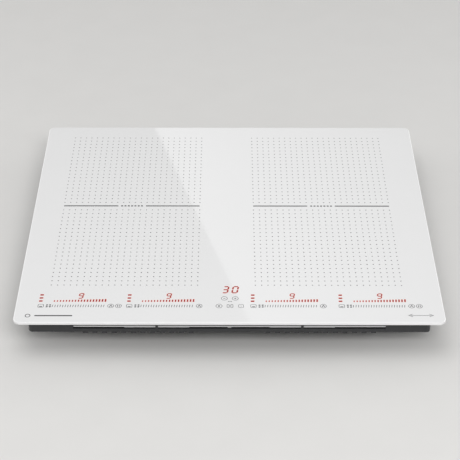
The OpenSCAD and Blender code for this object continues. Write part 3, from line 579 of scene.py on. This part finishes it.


# ---------------------------------------------------------------- casing
# Sheet steel, drawn and folded as a wide pan over a narrower tub, with a satin dark grey powder
# coat. The coat has a fine orange peel, and a paler colour along the folded edges is a painted
# highlight.
def soft_edges(tree, shader, relief, radius, edge_highlight=None):
    """Rounds a folded or moulded edge for the light, and can paint a paler highlight along it.

    The painted highlight grows from none on a flat face to full where the rounded edge turns by 26
    degrees.
    """
    rounded = add(tree, "Bevel", {"samples": 6, "Radius": radius * mm})
    tree.links.new(rounded.outputs[0], relief.inputs["Normal"])
    if edge_highlight:
        full_coat = shader.inputs["Base Color"].links[0].from_socket
        plain = add(tree, "NewGeometry")
        turned = add(tree, "VectorMath", {"operation": "DOT_PRODUCT"},
                     {0: rounded.outputs[0], 1: plain.outputs["Normal"]})
        edge_highlight_mask = add(tree, "MapRange", {"From Min": 0.999, "From Max": 0.9},
                   {"Value": turned.outputs["Value"]})
        # Painted highlight: the rounded edge takes a paler colour than the flat face.
        with_edge_highlight = add(tree, "Mix", {"data_type": "RGBA", 7: tone(edge_highlight)},
                      {0: edge_highlight_mask.outputs[0], 6: full_coat})
        tree.links.new(with_edge_highlight.outputs[2], shader.inputs["Base Color"])


powder_coat, tree, shader = surface("powder_coated_steel", "#343537", 0.45)
relief = grain(tree, shader, 1.1, ("#313234", "#38393B"), (0.4, 0.52), 0.03)
# 424446 is the painted highlight along the casing's folded edges.
soft_edges(tree, shader, relief, 0.7, "#424446")
dress(powder_coat, "bottom_tray", "terminal_cover")

# ---------------------------------------------------------------- air deflector
# A bent strip of satin anodised aluminium behind the front slot, which turns the warm air
# down and forwards. It is drawn along its length, so its lines run that way.
satin_aluminium, tree, shader = surface("satin_anodised_aluminium", "#E0E1E2", 0.5, metallic=1.0)
relief = grain(tree, shader, 0.5, ("#D8D9DA", "#E8E9EA"), (0.42, 0.56), 0.004, (0.02, 1, 1))
soft_edges(tree, shader, relief, 0.4)
dress(satin_aluminium, "air_deflector")

# ---------------------------------------------------------------- deflector painted shadow
# A thin black strip of the seal's foam material along the upper part of the strip's face: a painted
# shadow, which shows as a dark line of shade under the glass.
shadow_strip_low = 38.6
shadow_strip_thick = 0.4
shadow_strip_end = 1.0
shadow_strip_inset = 0.3
shadow_strip_edge = 0.12
deflector_low, deflector_high = (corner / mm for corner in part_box("air_deflector"))
shadow_strip_high = deflector_high.z - shadow_strip_inset
shadow_strip_size = (deflector_high.x - deflector_low.x - 2 * shadow_strip_end, shadow_strip_thick, shadow_strip_high - shadow_strip_low, 1)
shadow_strip_place = (0, deflector_low.y - shadow_strip_thick / 2, (shadow_strip_low + shadow_strip_high) / 2)
bm = bmesh.new()
bmesh.ops.create_cube(bm, size=1, matrix=Matrix.Translation(shadow_strip_place) @ Matrix.Diagonal(shadow_strip_size))
bmesh.ops.bevel(bm, geom=bm.edges[:], offset=shadow_strip_edge, segments=2, profile=0.5,
                affect="EDGES", material=-1)
piece("deflector_painted_shadow", bm, foam)

# ---------------------------------------------------------------- screws and nuts
# Cold-formed steel screws that hold the casing, the coil plates and the clamps, with the clamps'
# nuts and the touch springs. Bright zinc plating leaves them smooth, bluish and a little uneven.
zinc_plated, tree, shader = surface("zinc_plated_steel", "#B4B7BA", 0.3, metallic=1.0)
relief = grain(tree, shader, 2.0, ("#A9ADB1", "#C2C5C7"), (0.24, 0.38), 0.003)
soft_edges(tree, shader, relief, 0.15)
dress(zinc_plated, "casing_screws", "plate_screws", "clamp_screws", "clamp_nuts", "touch_springs")

# ---------------------------------------------------------------- coil windings
# Flat spirals of litz wire, wound on their formers: many enamelled copper strands twisted
# together. Strands of 0.3 mm are too fine to show, so their glints are drawn 2 mm across.
copper_litz, tree, shader = surface("enamelled_copper_litz", "#B8693A", 0.35, metallic=1.0)
relief = grain(tree, shader, 2.0, ("#9E5327", "#C97B49"), (0.28, 0.42), 0.08, (1, 1, 0.3))
dress(copper_litz, "coil_winding_front_left", "coil_winding_rear_left",
      "coil_winding_front_right", "coil_winding_rear_right")

# ---------------------------------------------------------------- coil formers and feelers
# Injection moulded black nylon discs hold each winding; a pressed mica sheet lies on top and
# eight sintered ferrite bars below. A cream nylon feeler in the middle reads the heat.
black_nylon, tree, shader = surface("moulded_black_nylon", "#1C1C1E", 0.5, ior=1.53)
relief = grain(tree, shader, 0.8, ("#19191B", "#212123"), (0.44, 0.58), 0.012)
soft_edges(tree, shader, relief, 0.25)
dress(black_nylon, "coil_former_front_left", "coil_former_rear_left",
      "coil_former_front_right", "coil_former_rear_right", "touch_carrier")
mica_sheet, tree, shader = surface("pressed_mica", "#C9BFA2", 0.5, ior=1.58)
grain(tree, shader, 6.0, ("#BBAF8D", "#D6CEB6"), (0.3, 0.6), 0.02)
dress(mica_sheet, "mica_sheets")
sintered_ferrite, tree, shader = surface("sintered_ferrite", "#3A3A3F", 0.7)
grain(tree, shader, 0.7, ("#333338", "#434349"), (0.62, 0.78), 0.02)
dress(sintered_ferrite, "ferrite_bars_front_left", "ferrite_bars_rear_left",
      "ferrite_bars_front_right", "ferrite_bars_rear_right")
cream_nylon, tree, shader = surface("moulded_cream_nylon", "#E6E1CF", 0.45, ior=1.53)
relief = grain(tree, shader, 1.2, ("#E2DCC9", "#EAE6D6"), (0.4, 0.52), 0.008)
soft_edges(tree, shader, relief, 0.25)
dress(cream_nylon, "heat_sensors", "board_spacers", "terminal_block")

# ---------------------------------------------------------------- coil plates and pillars
# Rolled aluminium plates carry the coils on turned brass pillars. Rolling leaves long fine
# lines from front to back; turning leaves rings a few tenths of a millimetre apart.
rolled_aluminium, tree, shader = surface("rolled_aluminium", "#C2C4C6", 0.35, metallic=1.0)
grain(tree, shader, 0.8, ("#B7B9BB", "#CDCFD1"), (0.28, 0.44), 0.006, (1, 0.02, 1))
dress(rolled_aluminium, "coil_plate_left", "coil_plate_right")
turned_brass, tree, shader = surface("turned_brass", "#C8A050", 0.3, metallic=1.0)
grain(tree, shader, 0.4, ("#BD9444", "#D3AE61"), (0.24, 0.36), 0.01, (0.02, 0.02, 1))
dress(turned_brass, "plate_pillars", "terminal_screws")

# ---------------------------------------------------------------- coil springs
# Three compression springs under each coil press it up against the glass. Each is coiled from
# drawn spring steel wire 1 mm thick, grey and fairly bright, and stands in for a plain CAD sleeve.
spring_wire = 1.0
spring_outer = 9.0
spring_turns = 5.5
spring_sides = 6
spring_steps = 16
spring_reach = 0.78
spring_angles = (22.5, 112.5, 202.5)
spring_low, spring_high = (corner.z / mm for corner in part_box("coil_springs"))
spring_rise = spring_high - spring_low - spring_wire
spring_radius = (spring_outer - spring_wire) / 2
spring_spin = int(spring_turns * spring_steps)
bm = bmesh.new()
for former in ("front_left", "rear_left", "front_right", "rear_right"):
    corner_low, corner_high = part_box("coil_former_" + former)
    middle = (corner_low + corner_high) / 2 / mm
    reach = (corner_high.x - corner_low.x) / 2 / mm * spring_reach
    for angle in spring_angles:
        x = middle.x + reach * math.cos(math.radians(angle))
        y = middle.y + reach * math.sin(math.radians(angle))
        start_ring = bmesh.ops.create_circle(
            bm, cap_ends=False, segments=spring_sides, radius=spring_wire / 2,
            matrix=Matrix.Translation((x + spring_radius, y, spring_low + spring_wire / 2))
            @ Matrix.Rotation(math.pi / 2, 4, "X"))
        ring_edges = list(dict.fromkeys(e for v in start_ring["verts"] for e in v.link_edges))
        wound = bmesh.ops.spin(
            bm, geom=start_ring["verts"] + ring_edges, cent=(x, y, 0), axis=(0, 0, 1),
            dvec=(0, 0, spring_rise / spring_spin),
            angle=2 * math.pi * spring_turns, steps=spring_spin)
        last_edges = [e for e in wound["geom_last"] if isinstance(e, bmesh.types.BMEdge)]
        bmesh.ops.contextual_create(bm, geom=ring_edges)
        bmesh.ops.contextual_create(bm, geom=last_edges)
spring_steel, tree, shader = surface("spring_steel_wire", "#8E9194", 0.32, metallic=1.0)
grain(tree, shader, 0.6, ("#83868A", "#9B9EA1"), (0.26, 0.4), 0.004)
springs = piece("wound_coil_springs", bm, spring_steel)
for polygon in springs.data.polygons:
    polygon.use_smooth = True
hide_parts("coil_springs")

# ---------------------------------------------------------------- coil leads
# Stranded copper leads from the coils to the power boards, in an extruded sleeve of red silicone
# rubber that stands the heat. Silicone looks soft, matt and slightly dusty.
silicone_sleeve, tree, shader = surface("red_silicone_sleeve", "#A33A2C", 0.6, ior=1.41)
grain(tree, shader, 1.2, ("#962F23", "#AF4535"), (0.52, 0.7), 0.02)
dress(silicone_sleeve, "coil_leads")

# ---------------------------------------------------------------- circuit boards
# Glass-epoxy boards under a green solder mask. Copper tracks, etched in straight runs, show
# through it as paler green lines; they are drawn 0.8 mm wide and 3.4 mm apart so that they show.
track_run = 15.0
track_pitch = 3.4
track_half = 0.4
track_rise = 0.035
solder_mask, tree, shader = surface("green_solder_mask", "#1C5A34", 0.3, ior=1.55)
coords = add(tree, "TexCoord")
tracks = add(tree, "TexBrick", {
    "Scale": 1 / mm, "Mortar Size": track_half, "Mortar Smooth": 0.2,
    "Brick Width": track_run, "Row Height": track_pitch,
    "offset": 0.37, "offset_frequency": 3, "squash": 0.55, "squash_frequency": 4,
}, {"Vector": coords.outputs["Object"]})
masked = add(tree, "Mix", {"data_type": "RGBA", 6: tone("#174B2B"), 7: tone("#2C7A4A")},
             {0: tracks.outputs["Fac"]})
tree.links.new(masked.outputs[2], shader.inputs["Base Color"])
track_height = add(tree, "Bump", {"Distance": track_rise * mm}, {"Height": tracks.outputs["Fac"]})
tree.links.new(track_height.outputs[0], shader.inputs["Normal"])
dress(solder_mask, "power_board_left", "power_board_right", "filter_board", "touch_board")

# ---------------------------------------------------------------- power parts
# Extruded aluminium heat sinks, with fine lines from the die along their fins. Transistors,
# bridges and display modules are moulded in epoxy, dull and grainy. Film capacitors and the small
# transformer have glossy yellow cases, and ring chokes are wound with enamelled copper wire.
extruded_aluminium, tree, shader = surface("extruded_aluminium", "#B9BBBD", 0.4, metallic=1.0)
grain(tree, shader, 0.7, ("#AEB0B2", "#C5C7C9"), (0.34, 0.5), 0.01, (1, 0.02, 1))
dress(extruded_aluminium, "heat_sink_left", "heat_sink_right")
moulded_epoxy, tree, shader = surface("moulded_black_epoxy", "#1A1A1B", 0.55, ior=1.55)
grain(tree, shader, 0.5, ("#171718", "#1F1F20"), (0.5, 0.62), 0.01)
dress(moulded_epoxy, "power_transistors", "bridge_rectifiers", "display_modules")
capacitor_yellow, tree, shader = surface("moulded_yellow_polyester", "#D2A62E", 0.28, ior=1.5)
relief = grain(tree, shader, 3.0, ("#CBA02A", "#D9AF3A"), (0.24, 0.34), 0.006)
soft_edges(tree, shader, relief, 0.5)
dress(capacitor_yellow, "resonance_capacitors", "filter_capacitors", "supply_transformer")
# A wave pattern repeats every 314 mm at scale 1, so its scale for a spacing is wave_step / spacing
wave_step = math.pi / 10 / mm
choke_wire = 1.2
choke_relief = 0.4
choke_copper, tree, shader = surface("enamelled_copper_wire", "#A5582B", 0.3, metallic=1.0)
coords = add(tree, "TexCoord")
lay = add(tree, "TexWave", {
    "wave_type": "BANDS", "bands_direction": "X", "Scale": wave_step / choke_wire,
    "Distortion": 0.4, "Detail": 1.0,
}, {"Vector": coords.outputs["Object"]})
# Painted shade: the tone follows the wire's height, darker in the grooves between turns.
wire_painted_shade = add(tree, "Mix", {"data_type": "RGBA", 6: tone("#7C3C1A"), 7: tone("#BC6C3A")},
                {0: lay.outputs["Fac"]})
tree.links.new(wire_painted_shade.outputs[2], shader.inputs["Base Color"])
wire_height = add(tree, "Bump", {"Distance": choke_relief * mm}, {"Height": lay.outputs["Fac"]})
tree.links.new(wire_height.outputs[0], shader.inputs["Normal"])
dress(choke_copper, "board_chokes", "filter_choke")

# ---------------------------------------------------------------- fans
# Spiral blower housings and their bladed rotors, injection moulded in glass-filled nylon, black
# and dark grey. Both have the faint grain of a spark-eroded mould and soft moulded edges.
housing_plastic, tree, shader = surface("glass_filled_black_nylon", "#26272A", 0.5, ior=1.55)
relief = grain(tree, shader, 0.9, ("#222326", "#2C2D30"), (0.42, 0.58), 0.014)
soft_edges(tree, shader, relief, 0.3)
dress(housing_plastic, "fan_housing_left", "fan_housing_right")
rotor_plastic, tree, shader = surface("glass_filled_grey_nylon", "#3A3B3E", 0.42, ior=1.55)
relief = grain(tree, shader, 1.2, ("#353639", "#414245"), (0.36, 0.5), 0.01)
soft_edges(tree, shader, relief, 0.2)
dress(rotor_plastic, "fan_rotor_left", "fan_rotor_right")

# ---------------------------------------------------------------- light guides and flat cable
# Moulded blocks of milky acrylic spread the light of the slider bars. The touch board's flat
# cable is extruded in grey PVC with ten ribs, one over each wire, 2 mm apart.
milky_acrylic, tree, shader = surface("milky_acrylic", "#E8E6E0", 0.25, ior=1.49)
grain(tree, shader, 2.5, ("#E4E2DB", "#EDEBE6"), (0.2, 0.3), 0.004)
dress(milky_acrylic, "bar_lights")
rib_pitch = 2.0
rib_relief = 0.3
flat_cable, tree, shader = surface("extruded_grey_pvc", "#B2B6BC", 0.5, ior=1.52)
coords = add(tree, "TexCoord")
ribs = add(tree, "TexWave", {
    "wave_type": "BANDS", "bands_direction": "X", "Scale": wave_step / rib_pitch,
}, {"Vector": coords.outputs["Object"]})
# Painted shade: the tone follows the ribs' height, darker in the grooves between them.
rib_painted_shade = add(tree, "Mix", {"data_type": "RGBA", 6: tone("#9FA3A9"), 7: tone("#BFC3C8")},
               {0: ribs.outputs["Fac"]})
tree.links.new(rib_painted_shade.outputs[2], shader.inputs["Base Color"])
rib_height = add(tree, "Bump", {"Distance": rib_relief * mm}, {"Height": ribs.outputs["Fac"]})
tree.links.new(rib_height.outputs[0], shader.inputs["Normal"])
dress(flat_cable, "ribbon_cable")

# ---------------------------------------------------------------- cable gland
# A black nylon gland, injection moulded and clipped into the tub's rear wall, where the mains
# cable enters. It is glossier than the casing round it, with the mould's fine grain.
gland_nylon, tree, shader = surface("moulded_gland_nylon", "#161617", 0.42, ior=1.53)
relief = grain(tree, shader, 0.7, ("#131314", "#1B1B1C"), (0.36, 0.5), 0.01)
soft_edges(tree, shader, relief, 0.3)
dress(gland_nylon, "cable_gland")

# ---------------------------------------------------------------- worktop clamps
# Four stamped steel arms under the side ledges swing out under the worktop and are drawn up by
# their screws. Bright zinc plating covers the faint drag lines that the stamping leaves.
stamped_zinc, tree, shader = surface("stamped_zinc_plated_steel", "#AEB1B4", 0.34, metallic=1.0)
relief = grain(tree, shader, 1.4, ("#A2A5A9", "#BBBEC0"), (0.28, 0.44), 0.006, (1, 0.15, 1))
soft_edges(tree, shader, relief, 0.25)
dress(stamped_zinc, "clamp_front_left", "clamp_rear_left", "clamp_front_right", "clamp_rear_right")
